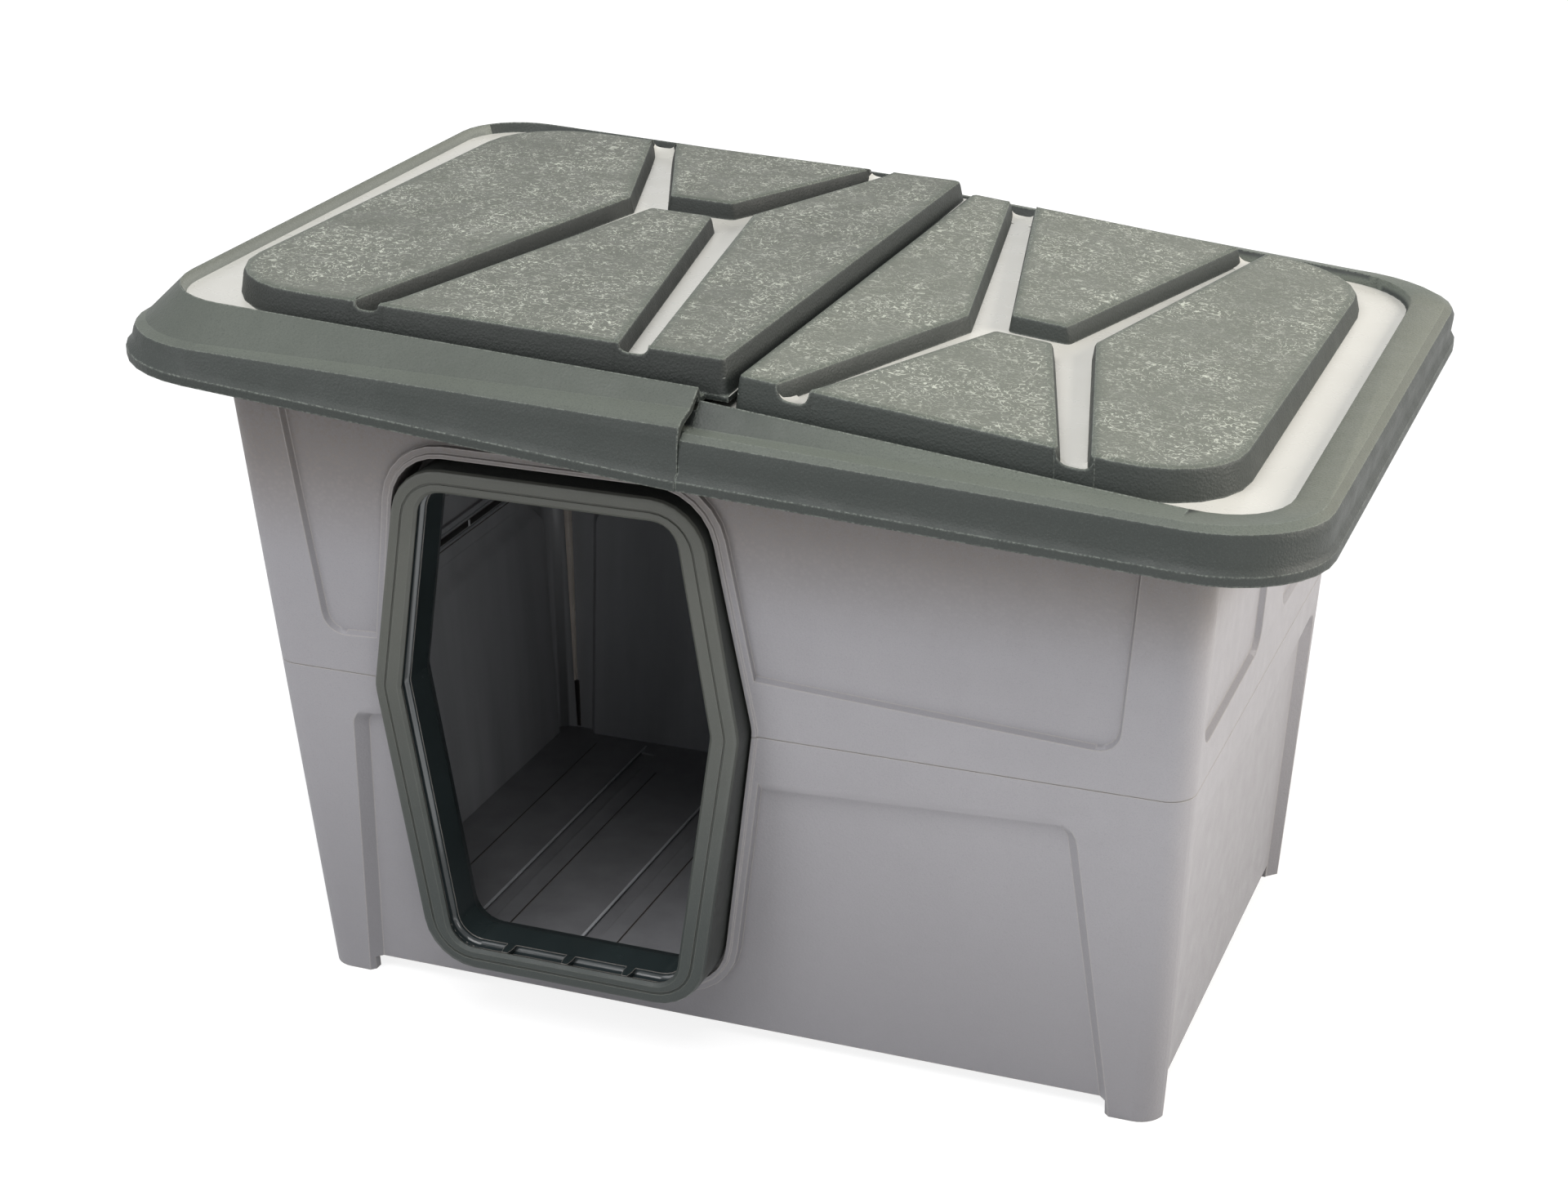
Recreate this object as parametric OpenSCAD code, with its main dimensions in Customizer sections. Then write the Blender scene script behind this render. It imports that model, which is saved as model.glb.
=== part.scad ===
// Moulded plastic cat house: a lower tub, an upper wall ring, a two-part door
// frame and a roof in two halves, the left one lapping over the right one.
// Frame: x runs along the front from left to right, y from the front to the
// back, z up; the origin is on the ground under the middle of the house.

/* [Tub and walls] */
// Length over the feet
foot_l = 549; // [480:1:620]
// Depth over the feet
foot_d = 346; // [320:1:400]
// Outward lean of the end walls for each mm of height
end_lean = 0.058; // [0.03:0.001:0.09]
// Outward lean of the front and back walls for each mm of height
side_lean = 0.0865; // [0.06:0.0005:0.1]
// Radius of the upright corners
corner_r = 16; // [10:1:24]
// Wall thickness of the tub and the wall ring
wall_t = 3; // [2:0.5:4]
// Height of the joint between the tub and the wall ring
seam_z = 219; // [190:1:240]
// Height of the feet under the walls
foot_h = 9; // [4:1:14]
// Height of the upper face of the floor
floor_z = 20; // [16:1:26]
// Thickness of the floor
floor_t = 3; // [2:0.5:4]
// Gap between parts that touch
fit = 0.3; // [0.1:0.05:0.5]
// Height of the locating lip inside the joint
lip_h = 16; // [6:1:18]
// Thickness of the locating lip
lip_t = 2.5; // [1.5:0.5:4]
// Width of the seat flange around the top of the wall ring
flange_w = 14; // [8:1:16]
// Depth of the turned-down edge of the seat flange
flange_drop = 9; // [5:1:14]

/* [Wall relief] */
// Depth of the lower recessed panels
low_d = 7; // [4:0.5:8]
// Width of the slope round each lower panel
low_slope = 7; // [4:0.5:8]
// Depth of the upper recessed panels
high_d = 4; // [2:0.5:6]
// Width of the slope round each upper panel
high_slope = 2; // [1.5:0.5:5]
// Half height of the band at mid-height, over the middle of a wall
band_h = 36; // [26:1:42]
// Half height of the band at the corner posts
band_end_h = 25; // [18:1:34]
// Width of the corner posts at the ground
post_w = 30; // [24:1:40]
// Width of the corner posts at the band
post_mid_w = 42; // [34:1:52]
// Width of the corner posts at the roof
post_top_w = 34; // [28:1:44]
// Width of the posts of the end walls at the ground
end_post_w = 12; // [10:1:20]
// Width of the posts of the end walls above the ground
end_post_mid_w = 22; // [16:1:30]
// Width of the raised strip in the middle of the end walls, above the band
end_strip_w = 60; // [40:1:90]
// Corner radius of the recessed panels
relief_r = 14; // [8:1:18]

/* [Floor] */
// Distance between the grooves in the floor
groove_pitch = 76; // [50:1:110]
// Width of each groove
groove_w = 12; // [6:1:20]
// Depth of each groove
groove_d = 1.5; // [0.5:0.5:2]

/* [Door] */
// Sideways place of the middle of the door
door_x = -89; // [-110:1:-70]
// Height of the lower edge of the door frame
door_z0 = 40; // [34:1:46]
// Height of the upper edge of the door frame
door_z1 = 365; // [340:1:372]
// Half width of the door frame at the top
door_top_w = 95; // [80:1:104]
// Half width of the door frame at its widest place
door_mid_w = 117.5; // [105:0.5:124]
// Height of that place over the joint in the walls
door_mid_up = 4; // [2:0.5:8]
// Half width of the door frame at the bottom
door_low_w = 89; // [80:1:100]
// Corner radius of the door frame
door_r = 34; // [24:1:40]
// Distance of the door frame's front face in front of the foot of the wall
frame_out = 38; // [34:1:42]
// Distance of the pocket's back face in front of the foot of the wall
pocket_out = 1; // [0:0.5:2]
// Width of the flat front face of the door frame at its sides
bezel_w = 17.5; // [13:0.5:20]
// Width of that face at the top and the bottom
bezel_end_w = 14; // [12:0.5:16]
// Rounding of the outer edge of the door frame
bezel_round = 3; // [1:0.5:4]
// Distance of the bead groove from the outer edge of the frame
bead_in = 7; // [5:0.5:9]
// Width of the bead groove
bead_w = 1.5; // [1:0.5:2]
// Gap between the pocket and the sides of the frame
pocket_gap = 2; // [1:0.5:3]
// Extra gap of the pocket over the top of the frame
pocket_top_gap = 4; // [2:0.5:5]
// Width of the raised lip round the pocket
surround_w = 7; // [5:0.5:9]
// Width of the thin lip at the pocket's edge
lip_w = 2.5; // [1.5:0.5:4]
// Height of that lip over the wall
lip_out = 1.5; // [0.5:0.5:2]
// Width of the pocket's floor that carries the frame
ledge_w = 9; // [7:0.5:11]
// Depth of the channel behind the frame's front face
channel_in = 14; // [10:1:16]
// Width of that channel outside the opening
channel_out = 4; // [3:0.5:5]
// Length over which the frame and the sleeve of the inner ring overlap
sleeve_lap = 9; // [6:1:12]
// Depth of the opening up to where the sleeve widens
tunnel_d = 35; // [32:1:38]
// Thickness of the flange of the inner door ring
ring_t = 3; // [2:0.5:4]
// Width of that flange outside the hole in the wall
ring_over = 6; // [3:0.5:8]

/* [Roof] */
// Overhang of the roof beyond the top of the end walls
eave_l = 57.2; // [45:0.1:70]
// Overhang of the roof beyond the top of the front and back walls
eave_d = 47.3; // [40:0.1:60]
// Plan radius of the roof's corners
roof_r = 66; // [50:1:80]
// Wall thickness of the roof
roof_t = 3; // [2:0.5:3.5]
// Height of the roof's flat base over the middle, left half
base_zl = 436; // [430:1:450]
// Fall of the left half for each mm towards the right
slope_l = 0.058; // [0.04:0.002:0.07]
// Fall of the right half for each mm towards the right
slope_r = 0.102; // [0.08:0.002:0.11]
// Rise of the base for each mm towards the back
slope_y = 0.018; // [0:0.002:0.02]
// Height of the left half over the right one at the lap
lap_z = 6.7; // [6:0.1:8]
// Sideways step of the right half inside the left one at the lap
lap_y = 5.5; // [5:0.1:6]
// Place of the end of the left half's rim
lap_end = 13; // [10:1:16]
// Length of the lap
lap_l = 23; // [18:1:30]
// Depth of the roof's lower edge under its base, over the middle
skirt_drop = 45; // [40:1:51]
// Fall of the lower edge for each mm towards the right, left half
skirt_slope_l = 0.084; // [0.07:0.002:0.09]
// Fall of the lower edge for each mm towards the right, right half
skirt_slope_r = 0.05; // [0.04:0.002:0.06]
// Height of the flared lip at the lower edge
lip_band = 9; // [6:1:12]
// Flare of that lip
lip_flare = 4.5; // [2:0.5:5]
// Depth of the roof's outer top edge under its base, over the middle
crease_drop = 12.5; // [10:0.5:15]
// Fall of the outer top edge towards the right, left half
crease_slope_l = 0.038; // [0.03:0.002:0.045]
// Fall of the outer top edge towards the right, right half
crease_slope_r = 0.053; // [0.045:0.002:0.06]
// Rounding of the outer top edge
crease_round = 4.5; // [3:0.5:6]
// Width of the rim at the ends
rim_l = 26; // [22:1:32]
// Width of the rim at the front and the back
rim_d = 36; // [32:1:40]
// Plan radius of the rim's inner corners
rim_r = 46; // [36:1:56]
// Height of the rim over the base
rim_h = 6.5; // [5:0.5:8]
// Slope of the rim's inner side, inwards over its height
rim_in = 3; // [2:0.5:4]

/* [Raised field of the roof] */
// Width of the sunk strip between the rim and the raised field, at the ends
strip_l = 28; // [24:1:34]
// Width of that strip at the front and the back
strip_d = 9; // [7:1:12]
// Plan radius of the raised field's corners
field_r = 62; // [50:1:70]
// Height of the raised field over the base, over the middle
field_h = 16.5; // [14:0.5:20]
// Fall of the raised field towards the right, left half
top_slope_l = 0.045; // [0.04:0.001:0.05]
// Fall of the raised field towards the right, right half
top_slope_r = 0.112; // [0.108:0.001:0.114]
// Step down of the raised field from the left half to the right one
top_step = 5.5; // [5:0.1:6.5]
// Depth of the channels in the raised field
channel_d = 11; // [8:0.5:11.5]
// Slope of the sides of the field and its islands, inwards over their height
field_draft = 2.5; // [1.5:0.5:3]
// Rounding of the upper edges of the islands
field_round = 3; // [2:0.5:3.5]
// Place of the left field's inner end
field_end = 26; // [24:0.5:27]
// Gap between the two fields
field_gap = 2.5; // [2:0.5:4]
// Width of a channel at its outer end
arm_end_w = 11; // [8:1:16]
// Width of the short channel in the middle of a half
bar_w = 27; // [20:1:32]
// Distance from the middle islands to the points of the side islands
fork_w = 16; // [12:1:20]
// Place of the middle channel of the left half: left end, right end, depth
bar_l = [-136, -89, 67];
// Place of the middle channel of the right half: left end, right end, depth
bar_r = [125, 164, -33];
// Ends of the left half's channels: back left, back right, front left, front right
arms_l = [-194, -31, -196, -30];
// Ends of the right half's channels: back left, back right, front left, front right
arms_r = [66, 223, 62, 221];

/* [Hidden] */
grey = [0.62, 0.61, 0.65];
green = [0.33, 0.36, 0.33];
dark_green = [0.16, 0.2, 0.19];
arc_n = 8;
corner_n = 6;
over = 1;
far = 900;
door_front_y = foot_d / 2 + frame_out;
pocket_y = foot_d / 2 + pocket_out;
roof_a = half_l(base_zl) + eave_l;
roof_b = half_d(base_zl) + eave_d;
rim_a = roof_a - rim_l;
rim_b = roof_b - rim_d;
field_a = rim_a - strip_l;
field_b = rim_b - strip_d;
skirt_z = base_zl - skirt_drop;
crease_zl = base_zl - crease_drop;
top_zl = base_zl + field_h;

// Half length and half depth of the outer walls at a height
function half_l(z) = foot_l / 2 + end_lean * z;
function half_d(z) = foot_d / 2 + side_lean * z;

// Slopes and heights of the roof, side -1 for the left half and 1 for the right
function pick(side, left, right) = side < 0 ? left : right;
function base_z(side, x, y) =
    pick(side, base_zl, base_zl - lap_z) - pick(side, slope_l, slope_r) * x + slope_y * y;
function skirt_edge_z(side, x) = skirt_z - pick(side, skirt_slope_l, skirt_slope_r) * x;
function crease_z(side, x) =
    pick(side, crease_zl, crease_zl - lap_z) - pick(side, crease_slope_l, crease_slope_r) * x;
function top_z(side, x) =
    pick(side, top_zl, top_zl - top_step) - pick(side, top_slope_l, top_slope_r) * x;
// Height of the seat under the roof's base
function seat_z(side, x, y) = base_z(side, x, y) - roof_t - fit;

// Unit vector from one plan point to the next, and its left-hand normal
function along(p, q) = (q - p) / norm(q - p);
function left_of(p, q) = [-along(p, q)[1], along(p, q)[0]];

// Corners of an outline that runs counter-clockwise, moved inwards by d
function inset(v, d) = [
    for (i = [0:len(v) - 1])
        let (a = v[(i + len(v) - 1) % len(v)], b = v[i], c = v[(i + 1) % len(v)],
             m = left_of(a, b), n = left_of(b, c))
            b + d * (m + n) / (1 + m * n)
];

// Arc that rounds the corner b between a and c, in up to count steps; the
// corner may turn either way, and a slight turn takes fewer steps
function corner_arc(a, b, c, r, count) =
    let (m = left_of(a, b), n = left_of(b, c),
         turn = atan2(m[0] * n[1] - m[1] * n[0], m * n),
         side = turn < 0 ? -1 : 1,
         steps = abs(turn) < 12 ? 1 : abs(turn) < 40 ? 2 : count,
         centre = b + side * r * (m + n) / (1 + m * n),
         a0 = atan2(-side * m[1], -side * m[0]))
        [for (k = [0:steps]) centre + r * [cos(a0 + turn * k / steps), sin(a0 + turn * k / steps)]];

// Counter-clockwise outline with rounded corners, radii listed corner by corner
function rounded(v, radii, count) = [
    for (i = [0:len(v) - 1])
        each corner_arc(v[(i + len(v) - 1) % len(v)], v[i], v[(i + 1) % len(v)], radii[i], count)
];

// The same outline moved inwards by d, its radii following
function rounded_inset(v, radii, d, count) =
    rounded(inset(v, d), [for (r = radii) max(r - d, 1.5)], count);

// Rectangle with rounded corners as a list of plan points
function plan_rect(a, b, r) = rounded([[-a, -b], [a, -b], [a, b], [-a, b]], [r, r, r, r], arc_n);

// Solid through a list of closed rings with equally many points each; the rings
// run counter-clockwise about the direction from the first ring to the last
module loft(rings) {
    n = len(rings[0]);
    m = len(rings);
    sides = [
        for (i = [0:m - 2], k = [0:n - 1])
            let (p = i * n + k, q = i * n + (k + 1) % n)
                each [[p, p + n, q + n], [p, q + n, q]]
    ];
    bottom = [[for (k = [0:n - 1]) k]];
    top = [[for (k = [n - 1:-1:0]) (m - 1) * n + k]];
    polyhedron(points = [for (ring = rings) each ring], faces = concat(bottom, sides, top), convexity = 10);
}

function lift(plan, z) = [for (p = plan) [p[0], p[1], z]];

// Tapered block of the body, its walls moved inwards by d
module body_block(z0, z1, d) {
    hull() loft([
        for (z = [z0, z1])
            lift(plan_rect(half_l(z) - d, half_d(z) - d, max(corner_r - d, 2)), z)
    ]);
}

// Point on a wall: u along it, z up, d inwards from its outer face
// wall 0 is the front, 1 the right end, 2 the back and 3 the left end
function on_wall(wall, u, z, d) =
    wall == 0 ? [u, -half_d(z) + d, z]
    : wall == 1 ? [half_l(z) - d, u, z]
    : wall == 2 ? [-u, half_d(z) - d, z]
    : [-half_l(z) + d, -u, z];

// Outline seen from outside the wall, as a ring at depth d
function wall_ring(wall, outline, d) = [
    for (k = [len(outline) - 1:-1:0]) on_wall(wall, outline[k][0], outline[k][1], d)
];

// Cutter for a recessed panel of depth deep; grow is 0 for the outer face, and
// the wall's thickness for the matching step on the inner face
module panel(wall, v, radii, deep, slope, grow) {
    loft([
        wall_ring(wall, rounded_inset(v, radii, -slope * 0.25 - grow, corner_n), -over - slope),
        wall_ring(wall, rounded_inset(v, radii, -grow, corner_n), 0),
        wall_ring(wall, rounded_inset(v, radii, slope - grow, corner_n), deep + grow)
    ]);
}

// Outlines of the lower and upper recessed panels of a wall: h is the half
// width of the wall at the ground, p the post widths at the ground, the band
// and the roof, lean the growth of the half width with height
function low_panel(h, lean, p) =
    let (z0 = -40, z1 = seam_z - band_end_h + 3, zm = seam_z - band_h + 4,
         x0 = h - p[0] + (lean - (p[1] - p[0]) / z1) * z0, x1 = h + lean * z1 - p[1])
        [[-x0, z0], [x0, z0], [x1, z1], [0, zm], [-x1, z1]];
function high_panel(h, lean, p) =
    let (z1 = seam_z + band_end_h, zm = seam_z + band_h + 2, z2 = panel_top,
         x1 = h + lean * z1 - p[1], x2 = h + lean * z2 - p[2])
        [[-x1, z1], [0, zm], [x1, z1], [x2, z2], [-x2, z2]];
// Half of the upper recess of an end wall, beside its raised middle strip
function side_panel(h, lean, p, side) =
    let (z1 = seam_z + band_end_h, z2 = panel_top,
         x1 = h + lean * z1 - p[1], x2 = h + lean * z2 - p[2])
        side > 0
            ? [[end_strip_w / 2, z1 + 4], [x1, z1], [x2, z2], [end_strip_w / 2, z2]]
            : [[-x1, z1], [-end_strip_w / 2, z1 + 4], [-end_strip_w / 2, z2], [-x2, z2]];

// Height above the walls at which the upper panels end
panel_top = base_zl + 34;
low_r = [1, 1, relief_r, 40, relief_r];
high_r = [relief_r, 40, relief_r, 1, 1];
side_r = [relief_r, relief_r, 1, 1];
front_posts = [post_w, post_mid_w, post_top_w];
end_posts = [end_post_w, end_post_mid_w, end_post_mid_w];

// Cutters of all lower panels; grow as for a single panel
module low_panels(grow) {
    for (wall = [0, 2]) {
        panel(wall, low_panel(foot_l / 2, end_lean, front_posts), low_r, low_d, low_slope, grow);
    }
    for (wall = [1, 3]) {
        panel(wall, low_panel(foot_d / 2, side_lean, end_posts), low_r, low_d, low_slope, grow);
    }
}

// Cutters of all upper panels
module high_panels(grow) {
    for (wall = [0, 2]) {
        panel(wall, high_panel(foot_l / 2, end_lean, front_posts), high_r, high_d, high_slope, grow);
    }
    for (wall = [1, 3], side = [-1, 1]) {
        panel(wall, side_panel(foot_d / 2, side_lean, end_posts, side), side_r, high_d, high_slope, grow);
    }
}

// Six-sided outline of the door frame; more lifts its upper edge and less
// lowers its lower edge
function door_v(more, less) =
    let (x0 = door_low_w, x1 = door_mid_w, x2 = door_top_w,
         z0 = door_z0 - less, z1 = seam_z + door_mid_up, z2 = door_z1 + more)
        [
            [door_x - x0, z0], [door_x + x0, z0], [door_x + x1, z1],
            [door_x + x2, z2], [door_x - x2, z2], [door_x - x1, z1]
        ];
door_radii = [door_r, door_r, 26, door_r, door_r, 26];
function door_line(d, more, less = 0) = rounded_inset(door_v(more, less), door_radii, d, corner_n);
// Difference between the face's width at the sides and at the ends
end_more = bezel_w - bezel_end_w;
// The outline at a place y, as a ring for lofts that run from front to back
function door_at(d, more, y, less = 0) =
    let (v = door_line(d, more, less)) [for (k = [len(v) - 1:-1:0]) [v[k][0], y, v[k][1]]];
module door_prism(d, more, y0, y1, less = 0) {
    hull() loft([door_at(d, more, y0, less), door_at(d, more, y1, less)]);
}
// Outline of the opening at a place y, moved inwards by d
function open_at(d, y) = door_at(bezel_w + d, end_more, y, end_more);
module open_prism(d, y0, y1) {
    door_prism(bezel_w + d, end_more, y0, y1, end_more);
}

ledge_y = -pocket_y + wall_t;
hole_in = ledge_w - pocket_gap;

// Box behind the wall that the door frame sits in, without its pocket
module door_box() {
    door_prism(-pocket_gap - wall_t, pocket_top_gap, -half_d(door_z1) - over, ledge_y);
}
// Pocket and hole of the door, with room behind the ledge for the inner ring
module door_cut() {
    door_prism(-pocket_gap, pocket_top_gap, -foot_d, -pocket_y);
    door_prism(hole_in, 0, -foot_d, 0);
    door_prism(hole_in - ring_over - fit, 0, ledge_y, 0);
}
// Raised plate round the door that the panels leave standing
module door_plate() {
    door_prism(-pocket_gap - surround_w, pocket_top_gap, -foot_d, 0);
}
// Thin lip round the pocket, on the wall's outer face
module door_lip() {
    difference() {
        loft([
            wall_ring(0, door_line(-pocket_gap - lip_w, pocket_top_gap), -lip_out),
            wall_ring(0, door_line(-pocket_gap - lip_w - 1, pocket_top_gap), 1)
        ]);
        door_cut();
    }
}

// Outer wall surface with its relief, low for the tub
module outer_walls(z0, z1, low) {
    difference() {
        body_block(z0, z1, 0);
        difference() {
            if (low) {
                low_panels(0);
            } else {
                high_panels(0);
            }
            door_plate();
        }
    }
}
// Space inside the walls, following the relief at a distance
module inner_space(z0, z1, low) {
    difference() {
        body_block(z0, z1, wall_t);
        if (low) {
            low_panels(wall_t);
        } else {
            high_panels(wall_t);
        }
    }
}

// Everything between two heights
module layer(z0, z1) {
    translate([-far, -far, z0])
        cube([2 * far, 2 * far, z1 - z0]);
}

module lower_tub() {
    z1 = seam_z + 5;
    color(grey) difference() {
        union() {
            difference() {
                outer_walls(0, z1, true);
                inner_space(floor_z, z1 + over, true);
                inner_space(-over, floor_z - floor_t, true);
            }
            intersection() {
                door_box();
                body_block(0, z1, wall_t / 2);
            }
            door_lip();
        }
        layer(seam_z, far);
        door_cut();
        feet_cut();
        floor_grooves();
    }
}

// Space under the lower edges of the walls between the feet
module feet_cut() {
    foot_x = foot_l / 2 - post_w - 3;
    foot_y = foot_d / 2 - end_post_w - corner_r / 2;
    translate([-foot_x, -far / 2, -over])
        cube([2 * foot_x, far, foot_h + over]);
    translate([-far / 2, -foot_y, -over])
        cube([far, 2 * foot_y, foot_h + over]);
}

// Shallow grooves across the floor
module floor_grooves() {
    count = floor((foot_l / 2 - 40) / groove_pitch);
    groove_l = foot_d - 50;
    for (k = [-count:count - 1]) {
        translate([(k + 0.5) * groove_pitch - groove_w / 2, -groove_l / 2, floor_z - groove_d])
            cube([groove_w, groove_l, groove_d + over]);
    }
}

// Everything above the roof's seat, lowered by drop, on one side of the lap
seat_step_x = lap_end - lap_l - 1;
lap_sink = 0.1;
module above_seat(side, drop) {
    x0 = side < 0 ? -far / 2 : seat_step_x;
    x1 = side < 0 ? seat_step_x : far / 2;
    plan = [[x0, -far / 2], [x1, -far / 2], [x1, far / 2], [x0, far / 2]];
    loft([
        [for (p = plan) [p[0], p[1], seat_z(side, p[0], p[1]) - drop]],
        [for (p = plan) [p[0], p[1], far]]
    ]);
}

// Upright block with the plan of the wall's top, grown outwards
module top_block(grow) {
    z_top = base_zl;
    loft([
        for (z = [seam_z + 60, z_top + 60])
            lift(plan_rect(half_l(z_top) + grow, half_d(z_top) + grow, corner_r + grow), z)
    ]);
}
// Flat seat and turned-down edge round the top of the walls
module flange() {
    for (side = [-1, 1]) {
        difference() {
            intersection() {
                top_block(flange_w);
                above_seat(side, wall_t);
            }
            top_block(-wall_t - high_d - over);
        }
        difference() {
            intersection() {
                top_block(flange_w);
                above_seat(side, flange_drop + wall_t);
            }
            top_block(flange_w - wall_t);
        }
    }
    // web that joins the two seats at the step between them
    difference() {
        intersection() {
            top_block(flange_w - wall_t / 2);
            above_seat(-1, lap_z + wall_t);
            slice(seat_step_x - wall_t, seat_step_x, far);
        }
        top_block(-wall_t - high_d - over);
    }
}

module upper_wall_ring() {
    z0 = seam_z - 5;
    z1 = base_zl + 40;
    color(grey) difference() {
        union() {
            difference() {
                union() {
                    difference() {
                        union() {
                            outer_walls(z0, z1, false);
                            flange();
                        }
                        inner_space(z0 - over, z1 + over, false);
                    }
                    intersection() {
                        door_box();
                        body_block(z0, z1, wall_t / 2);
                    }
                    door_lip();
                }
                layer(-over, seam_z + fit);
            }
            joint_lip();
        }
        door_cut();
        above_seat(-1, 0);
        above_seat(1, 0);
    }
}

// Locating lip of the wall ring inside the top of the tub
module joint_lip() {
    difference() {
        union() {
            body_block(seam_z + 2, seam_z + 9, wall_t / 2);
            body_block(seam_z - lip_h, seam_z + 5, wall_t + fit);
        }
        body_block(seam_z - lip_h - over, seam_z + 10, wall_t + fit + lip_t);
        door_prism(-pocket_gap - wall_t - over, pocket_top_gap, -foot_d, 0);
    }
}

module door_frame() {
    round_d = bezel_round;
    front = -door_front_y;
    sleeve_y = front + channel_in;
    color(dark_green) difference() {
        union() {
            hull() loft([
                door_at(round_d, 0, front),
                door_at(round_d * 0.3, 0, front + round_d * 0.3),
                door_at(0, 0, front + round_d),
                door_at(0, 0, -pocket_y - fit)
            ]);
        }
        // opening, wider at its front edge
        hull() loft([
            open_at(-3, front - over),
            open_at(0, front + 2)
        ]);
        open_prism(0, front, 0);
        // channel behind the front face, and the sleeve's place
        open_prism(-channel_out, front + wall_t, 0);
        // bead groove in the front face
        difference() {
            door_prism(bead_in, 0, front - over, front + 1);
            door_prism(bead_in + bead_w, 0, front - 2 * over, front + 2);
        }
        // hollow back of the frame
        difference() {
            door_prism(wall_t, 0, front + wall_t, 0);
            open_prism(-channel_out - wall_t, front, sleeve_y + sleeve_lap);
        }
    }
}

// Sleeve through the wall with a flange behind it
module inner_door_ring() {
    sleeve_y = -door_front_y + channel_in;
    flange_y = ledge_y + fit;
    color(dark_green) difference() {
        union() {
            open_prism(-channel_out + fit, sleeve_y, flange_y + over);
            hull() loft([
                door_at(hole_in - ring_over, 0, flange_y),
                door_at(hole_in - ring_over, 0, flange_y + ring_t - 1),
                door_at(hole_in - ring_over + 1, 0, flange_y + ring_t)
            ]);
            for (k = [0:5]) {
                catch(k);
            }
        }
        open_prism(0, sleeve_y - channel_in, 0);
        // widening behind the sleeve
        hull() loft([
            open_at(0, -door_front_y + tunnel_d),
            open_at(-3, flange_y + ring_t + over)
        ]);
    }
}
// Tapered catch that reaches forward from the sleeve into the channel
module catch(k) {
    x = door_x + [-0.45, 0, 0.45, -0.55, 0, 0.55][k] * door_low_w;
    z = k < 3 ? door_z0 + bezel_end_w - channel_out + fit : door_z1 - bezel_end_w;
    y = -door_front_y + wall_t + fit;
    reach = channel_in - wall_t;
    hull() {
        translate([x - 3, y + reach / 2, z])
            cube([6, reach / 2 + over, channel_out - fit]);
        translate([x - 2, y, z])
            cube([4, reach, channel_out - fit]);
    }
}

// Outside of a roof half over its whole plan; d is 0 for the outer face and
// the wall thickness for the inner one, side_in moves the skirt inwards
module roof_body(side, d, side_in) {
    a = roof_a - d - side_in;
    b = roof_b - d - side_in;
    r = max(roof_r - d - side_in, 5);
    under = d > 0 ? -over : 0;
    crease_in = lip_flare + 1.5;
    loft([
        [for (p = plan_rect(a, b, r)) [p[0], p[1], skirt_edge_z(side, p[0]) + under]],
        [for (p = plan_rect(a, b, r)) [p[0], p[1], skirt_edge_z(side, p[0]) + lip_band * 0.6]],
        [for (p = plan_rect(a - lip_flare, b - lip_flare, r - lip_flare)) [p[0], p[1], skirt_edge_z(side, p[0]) + lip_band]],
        [
            for (p = plan_rect(a - crease_in, b - crease_in, r - crease_in))
                [p[0], p[1], crease_z(side, p[0]) - crease_round * 0.9 - d * 0.7]
        ],
        [
            for (p = plan_rect(a - crease_in - crease_round * 0.35, b - crease_in - crease_round * 0.35, r - crease_in))
                [p[0], p[1], crease_z(side, p[0]) + crease_round * 0.1 - d * 0.8]
        ],
        [
            for (p = plan_rect(a - crease_in - crease_round * 1.3, b - crease_in - crease_round * 1.3, r - crease_in))
                [p[0], p[1], crease_z(side, p[0]) + crease_round * 0.75 - d]
        ],
        [for (p = plan_rect(rim_a, rim_b, rim_r)) [p[0], p[1], base_z(side, p[0], p[1]) + rim_h - d]]
    ]);
}

// Sunk area inside the rim, moved outwards by out and down by d
module rim_pocket(side, out, d) {
    a = rim_a + out;
    b = rim_b + out;
    r = rim_r + out;
    loft([
        [for (p = plan_rect(a - rim_in, b - rim_in, r - rim_in)) [p[0], p[1], base_z(side, p[0], p[1]) - d]],
        [for (p = plan_rect(a, b, r)) [p[0], p[1], base_z(side, p[0], p[1]) + rim_h]],
        [for (p = plan_rect(a + 1, b + 1, r)) [p[0], p[1], base_z(side, p[0], p[1]) + rim_h + 20]]
    ]);
}

// Plan of the raised field of a half
field_x = [[-field_a, field_end], [field_end + field_gap, field_a]];
function field_v(side) =
    let (x = side < 0 ? field_x[0] : field_x[1])
        [[x[0], -field_b], [x[1], -field_b], [x[1], field_b], [x[0], field_b]];
function field_radii(side) = side < 0 ? [field_r, 3.5, 3.5, field_r] : [3.5, field_r, field_r, 3.5];

// Plans of the four islands of a half: the two side ones, the back and the front one
function islands(side) =
    let (x = side < 0 ? field_x[0] : field_x[1],
         bar = side < 0 ? bar_l : bar_r,
         arm = side < 0 ? arms_l : arms_r,
         w = arm_end_w / 2, b = field_b, y = bar[2], h = bar_w / 2)
        [
            [[x[0], -b], [arm[2] - w, -b], [bar[0] - fork_w, y], [arm[0] - w, b], [x[0], b]],
            [[arm[3] + w, -b], [x[1], -b], [x[1], b], [arm[1] + w, b], [bar[1] + fork_w, y]],
            [[bar[0], y + h], [bar[1], y + h], [arm[1] - w, b], [arm[0] + w, b]],
            [[arm[2] + w, -b], [arm[3] - w, -b], [bar[1], y - h], [bar[0], y - h]]
        ];
island_r = 6;
// Distance of the channels' mouths inside the islands' sides
mouth_in = 1.5;
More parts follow.
